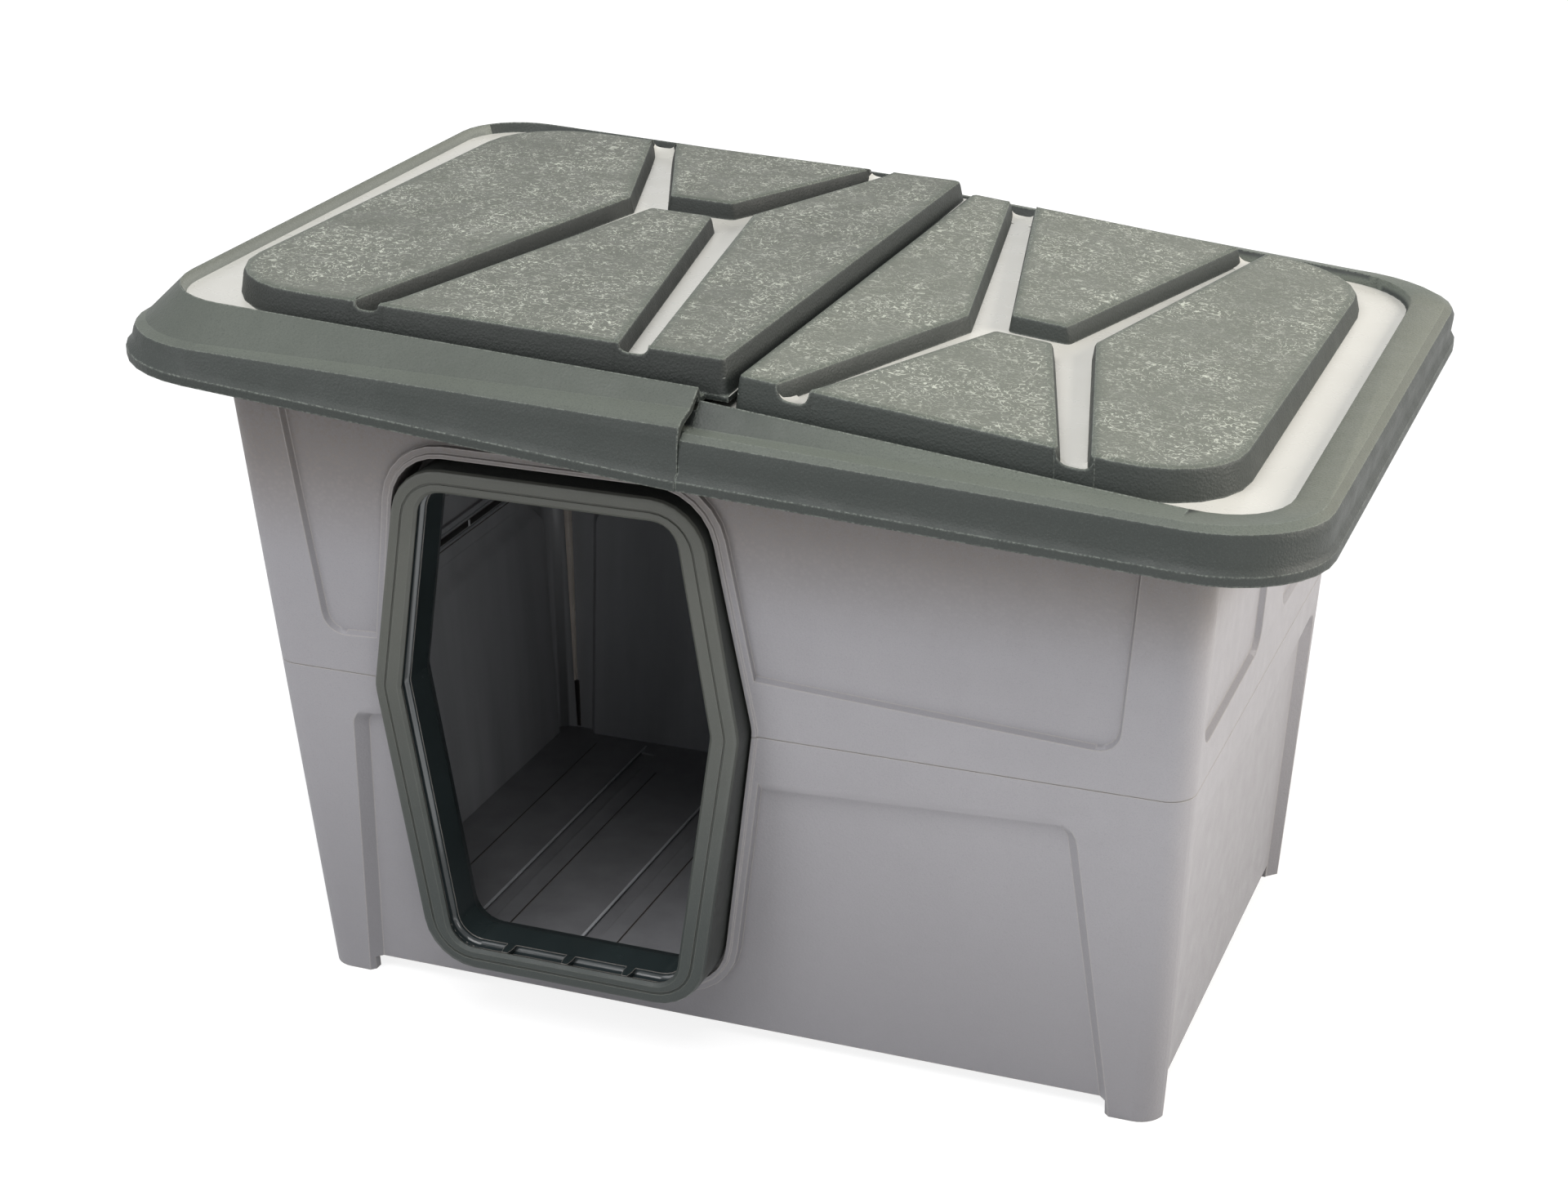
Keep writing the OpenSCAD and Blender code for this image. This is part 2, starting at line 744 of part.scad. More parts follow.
// Depth to which the cutters of the hollow field reach under the base
cut_below = 12;
function island_radii(side) =
    let (r = island_r, big = field_r, l = side < 0 ? big : r, q = side < 0 ? r : big)
        [[l, r, r, r, l], [r, q, q, r, r], [r, r, r, r], [r, r, r, r]];

// Floor of a field's channels with the islands on it, moved inwards and down by d
module field(side, d) {
    v = field_v(side);
    radii = field_radii(side);
    low = d > 0 ? d + cut_below : 2;
    foot = rounded_inset(v, radii, d + mouth_in, corner_n);
    head = rounded_inset(v, radii, d + mouth_in + 0.7, corner_n);
    loft([
        [for (p = foot) [p[0], p[1], base_z(side, p[0], p[1]) - low]],
        [for (p = head) [p[0], p[1], top_z(side, p[0]) - channel_d - d]]
    ]);
    for (k = [0:3]) {
        island(side, islands(side)[k], island_radii(side)[k], d);
    }
}

module island(side, v, radii, d) {
    low = d > 0 ? d + cut_below : 2;
    foot_in = d > 0 ? d - field_draft * 0.8 : 0;
    f = field_round;
    hull() loft([
        [for (p = rounded_inset(v, radii, foot_in, corner_n)) [p[0], p[1], base_z(side, p[0], p[1]) - low]],
        [for (p = rounded_inset(v, radii, d + field_draft, corner_n)) [p[0], p[1], top_z(side, p[0]) - f - d]],
        [for (p = rounded_inset(v, radii, d + field_draft + f * 0.3, corner_n)) [p[0], p[1], top_z(side, p[0]) - f * 0.3 - d]],
        [for (p = rounded_inset(v, radii, d + field_draft + f, corner_n)) [p[0], p[1], top_z(side, p[0]) - d]]
    ]);
}

// Solid under a half's rim and base, its base lowered by sink
module roof_solid(side, side_in, sink) {
    difference() {
        roof_body(side, 0, side_in);
        rim_pocket(side, side_in, sink);
    }
}
// Space under the shell of that solid
module roof_space(side, side_in, sink) {
    difference() {
        roof_body(side, roof_t, side_in);
        rim_pocket(side, roof_t + side_in, roof_t + sink);
    }
}

// Block between two places along the front
module slice(x0, x1, b) {
    translate([x0, -b, 0])
        cube([x1 - x0, 2 * b, 2 * foot_l]);
}

module roof_left() {
    color(green) intersection() {
        difference() {
            union() {
                roof_solid(-1, 0, 0);
                field(-1, 0);
            }
            roof_space(-1, 0, 0);
            field(-1, roof_t);
        }
        union() {
            slice(-far, lap_end, far);
            slice(lap_end - over, field_end + 0.5, field_b);
        }
    }
}

// The right half, its tongue under the left half and the web between the two
module roof_right() {
    step_x = lap_end + fit;
    web_t = 2;
    color(green) difference() {
        union() {
            intersection() {
                union() {
                    roof_solid(1, 0, 0);
                    field(1, 0);
                }
                slice(step_x, far, far);
            }
            intersection() {
                roof_solid(1, lap_y, lap_sink);
                slice(lap_end - lap_l, step_x + web_t / 2, far);
            }
        }
        intersection() {
            roof_space(1, 0, 0);
            slice(step_x + web_t, far, far);
        }
        intersection() {
            roof_space(1, lap_y, lap_sink);
            slice(-far, step_x + web_t + over, far);
        }
        field(1, roof_t);
    }
}

lower_tub();
upper_wall_ring();
door_frame();
inner_door_ring();
roof_left();
roof_right();
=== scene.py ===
"""Looks of the plastic cat house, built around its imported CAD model. Metres throughout."""

import math

import bmesh
import bpy
from mathutils import Matrix, Vector


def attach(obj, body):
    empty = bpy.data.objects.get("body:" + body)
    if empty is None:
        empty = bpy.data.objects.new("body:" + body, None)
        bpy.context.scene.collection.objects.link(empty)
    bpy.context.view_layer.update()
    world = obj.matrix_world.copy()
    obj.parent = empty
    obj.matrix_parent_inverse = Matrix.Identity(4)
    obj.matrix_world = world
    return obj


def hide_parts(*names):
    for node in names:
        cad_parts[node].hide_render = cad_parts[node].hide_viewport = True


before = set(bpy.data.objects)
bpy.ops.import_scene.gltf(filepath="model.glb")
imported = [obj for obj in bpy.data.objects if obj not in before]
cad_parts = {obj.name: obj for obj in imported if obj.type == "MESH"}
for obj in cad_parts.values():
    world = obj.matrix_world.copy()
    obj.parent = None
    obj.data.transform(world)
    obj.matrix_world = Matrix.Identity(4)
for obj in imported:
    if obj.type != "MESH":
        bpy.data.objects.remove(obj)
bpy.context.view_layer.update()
MM = 0.001


# Camera, solved from the straight edges in the photograph
CAMERA_PLACE = Vector((0.5823, -1.5626, 0.9135))
CAMERA_AZIMUTH = math.radians(21.22)
CAMERA_ELEVATION = math.radians(22.18)
CAMERA_ROLL = math.radians(0.359)
CAMERA_NEAR = 0.05
CAMERA_FAR = 50
LENS_MM = 64.92
SENSOR_MM = 36.0


def placed(name, data):
    """A new object in the scene."""
    item = bpy.data.objects.new(name, data)
    bpy.context.scene.collection.objects.link(item)
    return item


def add_camera():
    """The camera at the photograph's viewing angle."""
    az, el = CAMERA_AZIMUTH, CAMERA_ELEVATION
    forward = Vector((-math.sin(az) * math.cos(el), math.cos(az) * math.cos(el), -math.sin(el)))
    right = Vector((math.cos(az), math.sin(az), 0))
    down = forward.cross(right)
    c, s = math.cos(CAMERA_ROLL), math.sin(CAMERA_ROLL)
    image_x = c * right + s * down
    image_up = s * right - c * down
    turn = Matrix((image_x, image_up, -forward)).transposed()
    data = bpy.data.cameras.new("camera")
    data.sensor_fit = "HORIZONTAL"
    data.sensor_width = SENSOR_MM
    data.lens = LENS_MM
    data.clip_start = CAMERA_NEAR
    data.clip_end = CAMERA_FAR
    camera = placed("camera", data)
    camera.matrix_world = Matrix.Translation(CAMERA_PLACE) @ turn.to_4x4()
    bpy.context.scene.camera = camera


# Lights, world and floor
WORLD_COLOUR = (0.94, 0.96, 1.0)
WORLD_STRENGTH = 0.27
FLOOR_SIZE = 14.0
FLOOR_PAINT = 0.62
FLOOR_SHADED = 0.26
# the floor's own glow in the picture, near the house and far from it
GLOW_REACH = (0.8, 2.4)
GLOW_STRENGTH = (0.84, 1.0)
# place, target, size, watts and colour of each lamp
LAMPS = {
    "key_right": ((1.9, 0.4, 1.05), (0.1, 0, 0.25), (1.2, 1.2), 37, (1.0, 0.94, 0.86)),
    "top_soft": ((-0.1, -1.2, 2.5), (0, 0, 0.3), (2.0, 1.6), 54, (1.0, 1.0, 1.0)),
    "front_right": ((1.5, -2.1, 0.5), (-0.1, 0, 0.2), (0.8, 0.7), 8, (1.0, 0.98, 0.97)),
    "low_glint": ((0.5, -0.5, 0.012), (0.499, -0.498, 0.5), (1.3, 0.5), 4, (0.95, 0.98, 1.0)),
    "left_front": ((-1.5, -1.7, 1.1), (-0.1, 0, 0.2), (1.2, 1.2), 14, (0.98, 0.98, 1.0)),
}
# this one lies low in front and shows only as a reflection in the glossy plastic
REFLECTED_LAMP = "low_glint"


def add_lamps():
    """Soft rectangular lamps, each of which aims at its target."""
    for name, (place, target, size, power, colour) in LAMPS.items():
        data = bpy.data.lights.new(name, "AREA")
        data.shape = "RECTANGLE"
        data.size, data.size_y = size
        data.energy = power
        data.color = colour
        lamp = placed(name, data)
        lamp.location = place
        aim = Vector(target) - Vector(place)
        lamp.rotation_euler = aim.to_track_quat("-Z", "Y").to_euler()
        if name == REFLECTED_LAMP:
            lamp.visible_camera = False
            lamp.visible_diffuse = False


def seen_mix(tree, plain, seen):
    """A shader that differs for camera, mirror and glass rays."""
    nodes, links = tree.nodes, tree.links
    path = nodes.new("ShaderNodeLightPath")
    either = nodes.new("ShaderNodeMath")
    either.operation = "MAXIMUM"
    links.new(path.outputs["Is Camera Ray"], either.inputs[0])
    links.new(path.outputs["Is Glossy Ray"], either.inputs[1])
    every = nodes.new("ShaderNodeMath")
    every.operation = "MAXIMUM"
    links.new(either.outputs[0], every.inputs[0])
    links.new(path.outputs["Is Transmission Ray"], every.inputs[1])
    mix = nodes.new("ShaderNodeMixShader")
    links.new(every.outputs[0], mix.inputs[0])
    links.new(plain, mix.inputs[1])
    links.new(seen, mix.inputs[2])
    return mix.outputs[0]


def add_world():
    """A weak even light on the object and a white background in the picture."""
    world = bpy.data.worlds.new("studio")
    bpy.context.scene.world = world
    world.use_nodes = True
    tree = world.node_tree
    tree.nodes.clear()
    plain = tree.nodes.new("ShaderNodeBackground")
    plain.inputs["Color"].default_value = (*WORLD_COLOUR, 1)
    plain.inputs["Strength"].default_value = WORLD_STRENGTH
    seen = tree.nodes.new("ShaderNodeBackground")
    seen.inputs["Color"].default_value = (1, 1, 1, 1)
    seen.inputs["Strength"].default_value = 1.0
    out = tree.nodes.new("ShaderNodeOutputWorld")
    tree.links.new(seen_mix(tree, plain.outputs[0], seen.outputs[0]), out.inputs["Surface"])


def add_floor():
    """A pale floor that shows white in the picture but keeps the object's shadow."""
    h = FLOOR_SIZE / 2
    mesh = bpy.data.meshes.new("floor")
    mesh.from_pydata([(-h, -h, 0), (h, -h, 0), (h, h, 0), (-h, h, 0)], [], [(0, 1, 2, 3)])
    floor = placed("floor", mesh)
    mat = bpy.data.materials.new("studio_floor")
    mat.use_nodes = True
    tree = mat.node_tree
    tree.nodes.clear()
    paint = tree.nodes.new("ShaderNodeBsdfDiffuse")
    paint.inputs["Color"].default_value = (FLOOR_PAINT, FLOOR_PAINT, FLOOR_PAINT, 1)
    shaded = tree.nodes.new("ShaderNodeBsdfDiffuse")
    shaded.inputs["Color"].default_value = (FLOOR_SHADED, FLOOR_SHADED, FLOOR_SHADED, 1)
    glow = tree.nodes.new("ShaderNodeEmission")
    glow.inputs["Color"].default_value = (1, 1, 1, 1)
    reach = tree.nodes.new("ShaderNodeVectorMath")
    reach.operation = "LENGTH"
    tree.links.new(tree.nodes.new("ShaderNodeTexCoord").outputs["Object"], reach.inputs[0])
    fade = tree.nodes.new("ShaderNodeMapRange")
    fade.interpolation_type = "SMOOTHSTEP"
    fade.inputs["From Min"].default_value, fade.inputs["From Max"].default_value = GLOW_REACH
    fade.inputs["To Min"].default_value, fade.inputs["To Max"].default_value = GLOW_STRENGTH
    tree.links.new(reach.outputs["Value"], fade.inputs["Value"])
    tree.links.new(fade.outputs[0], glow.inputs["Strength"])
    both = tree.nodes.new("ShaderNodeAddShader")
    tree.links.new(shaded.outputs[0], both.inputs[0])
    tree.links.new(glow.outputs[0], both.inputs[1])
    out = tree.nodes.new("ShaderNodeOutputMaterial")
    tree.links.new(seen_mix(tree, paint.outputs[0], both.outputs[0]), out.inputs["Surface"])
    mesh.materials.append(mat)


# Materials
class Nodes:
    """Short names for building a node material."""

    def __init__(self, name, specular):
        self.material = bpy.data.materials.new(name)
        self.material.use_nodes = True
        self.tree = self.material.node_tree
        self.shader = self.tree.nodes["Principled BSDF"]
        self.shader.inputs["Specular IOR Level"].default_value = specular
        self.place = self.tree.nodes.new("ShaderNodeTexCoord").outputs["Object"]

    def add(self, kind, **settings):
        node = self.tree.nodes.new("ShaderNode" + kind)
        for key, value in settings.items():
            setattr(node, key, value)
        return node

    def link(self, a, b):
        self.tree.links.new(a, b)

    def feed(self, socket, value):
        """Gives a socket a number, a colour or another node's output."""
        if isinstance(value, (int, float)):
            socket.default_value = value
        elif isinstance(value, tuple):
            socket.default_value = (*value, 1)
        else:
            self.link(value, socket)

    def noise(self, scale, detail=3.0, rough=0.55, stretch=None, shift=0.0):
        """Soft noise; stretch scales its axes and shift takes it from another place."""
        node = self.add("TexNoise")
        node.inputs["Scale"].default_value = scale
        node.inputs["Detail"].default_value = detail
        node.inputs["Roughness"].default_value = rough
        source = self.place
        if stretch or shift:
            mapping = self.add("Mapping")
            mapping.inputs["Scale"].default_value = stretch or (1.0, 1.0, 1.0)
            mapping.inputs["Location"].default_value = (shift, shift * 0.7, shift * 0.3)
            self.link(source, mapping.inputs["Vector"])
            source = mapping.outputs[0]
        self.link(source, node.inputs["Vector"])
        return node.outputs["Fac"]

    def cells(self, scale):
        """Distance to the nearest of many scattered points."""
        node = self.add("TexVoronoi")
        node.inputs["Scale"].default_value = scale
        self.link(self.place, node.inputs["Vector"])
        return node.outputs["Distance"]

    def ramp(self, value, low, high):
        """A colour between two (value, colour) ends."""
        node = self.add("ValToRGB")
        for end, (at, colour) in zip(node.color_ramp.elements, (low, high)):
            end.position = at
            end.color = (*colour, 1)
        self.link(value, node.inputs[0])
        return node.outputs[0]

    def grey_ramp(self, value, low, high, dark=0.0, light=1.0):
        return self.ramp(value, (low, (dark,) * 3), (high, (light,) * 3))

    def mix(self, a, b, share):
        """Colour a, turning into b as the share rises from 0 to 1."""
        node = self.add("Mix", data_type="RGBA")
        for socket, value in ((6, a), (7, b), (0, share)):
            self.feed(node.inputs[socket], value)
        return node.outputs[2]

    def math(self, operation, a, b=0.0):
        node = self.add("Math", operation=operation)
        self.feed(node.inputs[0], a)
        self.feed(node.inputs[1], b)
        return node.outputs[0]

    def times(self, a, b):
        return self.math("MULTIPLY", a, b)

    def plus(self, a, b):
        return self.math("ADD", a, b)

    def rest_of(self, share):
        """What is left of 1."""
        return self.math("SUBTRACT", 1.0, share)

    def span(self, value, low, high):
        """0 below low, 1 above high and a smooth step between them."""
        node = self.add("MapRange", interpolation_type="SMOOTHSTEP")
        node.inputs["From Min"].default_value = low
        node.inputs["From Max"].default_value = high
        self.link(value, node.inputs["Value"])
        return node.outputs[0]

    def along(self, axis):
        """The object's own coordinate along an axis."""
        node = self.add("SeparateXYZ")
        self.link(self.place, node.inputs[0])
        return node.outputs[axis]

    def off_middle(self, axis):
        """Distance from the object's middle along an axis."""
        return self.math("ABSOLUTE", self.along(axis))

    def upward(self):
        """How far the surface faces up, from the object's own normals."""
        source = self.add("TexCoord")
        node = self.add("SeparateXYZ")
        self.link(source.outputs["Normal"], node.inputs[0])
        return node.outputs["Z"]

    def softened(self, radius, samples):
        """Normals as if the edges were rounded."""
        node = self.add("Bevel", samples=samples)
        node.inputs["Radius"].default_value = radius
        return node.outputs[0]

    def edges(self, radius, low=0.006, high=0.05):
        """1 on sharp edges, 0 on flat and gently curved faces."""
        soft = self.softened(radius, 6)
        turn = self.add("VectorMath", operation="DOT_PRODUCT")
        self.link(soft, turn.inputs[0])
        self.link(self.add("NewGeometry").outputs["Normal"], turn.inputs[1])
        return self.span(self.rest_of(turn.outputs["Value"]), low, high)

    def hollow_shade_mask(self, distance, low=0.25, high=0.62):
        """1 in narrow inner corners, 0 in the open: where painted shade goes."""
        node = self.add("AmbientOcclusion", samples=6)
        node.inputs["Distance"].default_value = distance
        return self.span(self.rest_of(node.outputs["AO"]), low, high)

    def colour(self, value):
        self.link(value, self.shader.inputs["Base Color"])

    def roughness(self, value):
        self.link(value, self.shader.inputs["Roughness"])

    def bump(self, height, strength, distance, edge=0.0):
        """Surface relief from a height; edge is the radius of softened edges."""
        node = self.add("Bump")
        node.inputs["Strength"].default_value = strength
        node.inputs["Distance"].default_value = distance
        self.link(height, node.inputs["Height"])
        if edge:
            self.link(self.softened(edge, 4), node.inputs["Normal"])
        self.link(node.outputs[0], self.shader.inputs["Normal"])


def scaled(colour, *factors):
    """A colour times one factor, or times one factor for each channel."""
    if len(factors) == 1:
        factors *= 3
    return tuple(channel * factor for channel, factor in zip(colour, factors))


# heights between which the walls' colour changes: painted shade under the roof, a deeper painted
# shadow just under the eave, and darker low down
WALL_SHADE_Z = (0.285, 0.375)
WALL_EAVE_SHADOW_Z = (0.325, 0.385)
WALL_EAVE_SHADOW_TILT = 0.06
WALL_LOW_Z = (0.0, 0.24)


def wall_plastic(name, base, rough, grain_depth):
    """Grey moulded wall: leather-like grain and faint flow marks, with painted shade close under
    the roof, painted highlights on its edges and painted shade in its creases.
    """
    m = Nodes(name, 0.4)
    colour = m.ramp(m.noise(5, 3), (0.35, scaled(base, 0.965)), (0.65, scaled(base, 1.03)))
    streak = m.noise(26, 2, 0.5, stretch=(1.0, 1.0, 0.12))
    colour = m.mix(colour, scaled(base, 1.05), m.grey_ramp(streak, 0.5, 0.8, 0, 0.4))
    height = m.along("Z")
    # painted shade: the wall browns and darkens under the roof's overhang
    shade_under_roof = m.span(height, *WALL_SHADE_Z)
    colour = m.mix(colour, scaled(base, 0.68, 0.62, 0.54), m.times(shade_under_roof, 0.95))
    # painted shadow just under the eave, following the roof's tilt along x
    tilted = m.plus(height, m.times(m.along("X"), WALL_EAVE_SHADOW_TILT))
    eave_shadow = m.span(tilted, *WALL_EAVE_SHADOW_Z)
    colour = m.mix(colour, scaled(base, 0.42, 0.38, 0.33), m.times(eave_shadow, 0.9))
    low_down = m.rest_of(m.span(height, *WALL_LOW_Z))
    colour = m.mix(colour, scaled(base, 0.76), m.times(low_down, 0.9))
    # the grain's cells darken only within the painted shade under the roof
    leather = m.grey_ramp(m.cells(330), 0.2, 0.6)
    colour = m.mix(colour, scaled(base, 0.55), m.times(m.times(leather, shade_under_roof), 0.35))
    # painted shade in the wall's creases and recesses
    hollow_shade = m.hollow_shade_mask(3.5 * MM)
    # painted highlight: pale lines where the wall's edges catch light
    rim = m.times(m.edges(1.2 * MM), 0.75)
    colour = m.mix(colour, scaled(base, 1.35, 1.30, 1.18), rim)
    colour = m.mix(colour, scaled(base, 0.50, 0.47, 0.42), m.times(hollow_shade, 0.15))
    pores = m.grey_ramp(m.noise(1500, 2, 0.7), 0.5, 0.75, 0, 0.4)
    m.colour(m.mix(colour, scaled(base, 0.7), pores))
    m.roughness(m.grey_ramp(m.noise(70, 3), 0.3, 0.7, rough - 0.06, rough + 0.06))
    grain = m.plus(m.cells(560), m.times(m.noise(1100, 2), 0.9))
    m.bump(grain, grain_depth, 0.3 * MM, 1.1 * MM)
    return m.material


def fibres(m, scale, thin, seed, low):
    """Short curved threads: where a smooth noise crosses its middle, broken up by patches."""
    wave = m.noise(scale, 0, 0.5, shift=seed)
    off = m.math("ABSOLUTE", m.math("SUBTRACT", wave, 0.5))
    line = m.rest_of(m.span(off, thin * 0.4, thin))
    patch = m.span(m.noise(scale * 0.8, 1, 0.6, shift=seed + 3.7), low, low + 0.06)
    return m.times(line, patch)


# scale, thinness, seed and lower limit of the patches, for each layer of threads
FIBRE_LAYERS = (
    (150, 0.024, 0.0, 0.52),
    (200, 0.028, 11.3, 0.50),
    (260, 0.034, 23.9, 0.51),
    (340, 0.042, 37.1, 0.53),
)
# places between which the roof's colour changes: painted light on the right half, lighter at the
# right end
LIT_RIGHT_HALF_X = (0.02, 0.03)
RIGHT_END_X = (0.322, 0.334)
RIGHT_END_Y = (0.18, 0.225)
PAINTED_EDGE_HIGHLIGHT = (0.33, 0.36, 0.32)


def roof_plastic(name, side, top, facing, thread=None):
    """Dark green grained roof, lighter where it faces up, with painted light on its right half; a
    thread colour adds pale threads.
    """
    m = Nodes(name, 0.35)
    up = m.span(m.upward(), *facing)
    lit_right_half = m.span(m.along("X"), *LIT_RIGHT_HALF_X)
    dull = m.ramp(m.noise(11, 4), (0.3, scaled(top, 0.84)), (0.7, top))
    # painted light: the right half's tops and sides are lighter where the key lamp falls on them
    dull = m.mix(dull, scaled(top, 1.22), m.times(lit_right_half, 0.8))
    near_middle = m.rest_of(m.span(m.off_middle("Y"), *RIGHT_END_Y))
    right_end = m.times(m.span(m.along("X"), *RIGHT_END_X), near_middle)
    dull = m.mix(dull, scaled(top, 1.6, 1.5, 1.45), right_end)
    flank = m.mix(side, scaled(side, 1.9), lit_right_half) if thread else side
    colour = m.mix(flank, dull, up)
    specks = m.span(m.noise(1300, 2, 0.7), 0.50, 0.68)
    colour = m.mix(colour, scaled(side, 2.0), m.times(specks, 0.40))
    dark_specks = m.span(m.noise(1000, 2, 0.7, shift=5.1), 0.52, 0.70)
    colour = m.mix(colour, scaled(side, 0.6), m.times(dark_specks, 0.28))
    if thread:
        marks = 0.0
        for layer in FIBRE_LAYERS:
            marks = m.math("MAXIMUM", fibres(m, *layer), marks)
        cover = m.grey_ramp(m.noise(22, 2), 0.35, 0.62, 0.25, 1.0)
        shown = m.times(m.times(marks, up), cover)
        rounding = m.edges(8 * MM, 0.0008, 0.03)
        colour = m.mix(colour, scaled(top, 0.62, 0.68, 0.66), m.times(rounding, up))
        colour = m.mix(colour, thread, m.times(shown, m.rest_of(rounding)))
    # painted highlight: speckled pale lines along the roof's edges and crease
    speckle = m.grey_ramp(m.noise(620, 2, 0.7, shift=9.4), 0.42, 0.60, 0.15, 1.0)
    rim = m.times(m.edges(1.6 * MM, 0.010, 0.06), m.times(speckle, 0.6))
    # painted shade in the roof's inner corners, which also keeps the painted edge highlight out of
    # them
    hollow_shade = m.hollow_shade_mask(4 * MM, 0.30, 0.70)
    colour = m.mix(colour, PAINTED_EDGE_HIGHLIGHT, m.times(rim, m.rest_of(hollow_shade)))
    m.colour(m.mix(colour, scaled(side, 0.55, 0.80, 0.60), m.times(hollow_shade, 0.35)))
    m.roughness(m.grey_ramp(m.noise(50, 3), 0.3, 0.7, 0.48, 0.62))
    grain = m.plus(m.cells(620), m.times(m.noise(1200, 2), 0.9))
    m.bump(grain, 0.6, 0.3 * MM, 2.2 * MM)
    return m.material


# the strips' pale painted reflection gives way to dark beyond this distance from the middle, but
# not towards the roof's ends
STRIP_DARK_Y = (211.5 * MM, 213.0 * MM)
STRIP_FADE_X = (0.20, 0.27)


def strip_plastic(name, light, dark):
    """Smooth glossy floor of the channels: pale with a painted reflection, dark along the middle
    of the front and the back.
    """
    m = Nodes(name, 0.5)
    flow = m.noise(18, 3, 0.5, stretch=(1.0, 0.25, 1.0))
    colour = m.ramp(flow, (0.3, scaled(light, 0.96)), (0.7, light))
    cloud = m.grey_ramp(m.noise(7, 3, 0.6, shift=2.2), 0.45, 0.7, 0, 0.5)
    colour = m.mix(colour, scaled(light, 0.86), cloud)
    # where the painted reflection stops, the strip turns dark
    at_edge = m.span(m.off_middle("Y"), *STRIP_DARK_Y)
    middle = m.rest_of(m.span(m.off_middle("X"), *STRIP_FADE_X))
    m.colour(m.mix(colour, dark, m.times(at_edge, middle)))
    m.roughness(m.grey_ramp(m.noise(40, 3), 0.3, 0.7, 0.22, 0.36))
    m.bump(m.noise(60, 2), 0.04, 0.1 * MM)
    return m.material


FRAME_LOW_Z = (0.05, 0.33)


def frame_plastic(name, base, edge, lower):
    """Olive grained frame with painted highlights on its edges; lower is how much it darkens low
    down.
    """
    m = Nodes(name, 0.42)
    colour = m.ramp(m.noise(16, 3), (0.3, scaled(base, 0.94)), (0.7, scaled(base, 1.06)))
    low_down = m.rest_of(m.span(m.along("Z"), *FRAME_LOW_Z))
    colour = m.mix(colour, scaled(base, 0.34, 0.41, 0.44), m.times(low_down, lower))
    specks = m.span(m.noise(1600, 2, 0.7), 0.55, 0.75)
    colour = m.mix(colour, scaled(base, 1.5), m.times(specks, 0.3))
    # painted highlight along the frame's edges
    m.colour(m.mix(colour, scaled(base, 2.1), m.times(m.edges(0.9 * MM, 0.01, 0.1), 0.5)))
    m.roughness(m.grey_ramp(m.noise(60, 3), 0.3, 0.7, 0.42, 0.56))
    m.bump(m.plus(m.cells(700), m.noise(1500, 2)), 0.3, 0.2 * MM, edge)
    return m.material


DUST = (0.16, 0.16, 0.15)
GLOSS_EDGE_HIGHLIGHT = (0.44, 0.40, 0.36)


def gloss_plastic(name, base, rough, edge):
    """Glossy plastic with faint flow marks, dust and painted highlights on its edges."""
    m = Nodes(name, 0.5)
    flow = m.noise(30, 3, 0.5, stretch=(1.0, 0.3, 1.0))
    colour = m.ramp(flow, (0.3, scaled(base, 0.85)), (0.7, scaled(base, 1.1)))
    dust = m.span(m.noise(700, 3, 0.7), 0.62, 0.78)
    colour = m.mix(colour, DUST, m.times(dust, 0.25))
    # painted highlight along the edges
    m.colour(m.mix(colour, GLOSS_EDGE_HIGHLIGHT, m.times(m.edges(0.8 * MM, 0.02, 0.12), 0.6)))
    m.roughness(m.grey_ramp(m.noise(35, 3), 0.3, 0.8, rough - 0.05, rough + 0.1))
    m.bump(m.noise(150, 2), 0.08, 0.1 * MM, edge)
    return m.material


def inner_plastic(name, base):
    """Smoother inside of the walls and the floor, with upright flow marks."""
    m = Nodes(name, 0.5)
    streak = m.noise(40, 3, 0.55, stretch=(1.0, 1.0, 0.08))
    colour = m.ramp(streak, (0.3, scaled(base, 0.88)), (0.7, scaled(base, 1.08)))
    dust = m.span(m.noise(260, 4, 0.7), 0.58, 0.72)
    m.colour(m.mix(colour, scaled(base, 1.35), m.times(dust, 0.12)))
    m.roughness(m.grey_ramp(m.noise(30, 3), 0.3, 0.7, 0.32, 0.46))
    m.bump(m.noise(500, 2), 0.12, 0.15 * MM, 1.0 * MM)
    return m.material


ROOF_SIDE = (0.027, 0.032, 0.029)
ROOF_FACING = (0.60, 0.94)

WALL = wall_plastic("wall_grey", (0.325, 0.318, 0.335), 0.55, 0.35)
INSIDE = inner_plastic("wall_inside", (0.365, 0.376, 0.392))
FLOOR = inner_plastic("floor_inside", (0.25, 0.25, 0.262))
FRAME = frame_plastic("frame_olive", (0.082, 0.085, 0.074), 1.0 * MM, 1.0)
# a darker copy of the frame's plastic: painted shade on the frame's outer sides
FRAME_SIDE_SHADE = frame_plastic("frame_side_shaded", (0.036, 0.039, 0.036), 0.8 * MM, 0.0)
RING = gloss_plastic("ring_dark", (0.020, 0.028, 0.029), 0.20, 0.8 * MM)
ROOF = roof_plastic("roof_green", ROOF_SIDE, (0.106, 0.119, 0.100), ROOF_FACING)
ROOF_LIP = roof_plastic("roof_lip", ROOF_SIDE, (0.030, 0.036, 0.033), ROOF_FACING)
# the left end's rim wall: a pale painted reflection, like the channels' floors
RIM_REFLECTION = roof_plastic("rim_painted_reflection", (0.17, 0.18, 0.155), (0.24, 0.25, 0.22), (0.50, 0.9))
ROOF_TOP = roof_plastic("roof_island", (0.019, 0.022, 0.020), (0.130, 0.139, 0.116),
                        (0.70, 0.985), thread=(0.50, 0.52, 0.45))
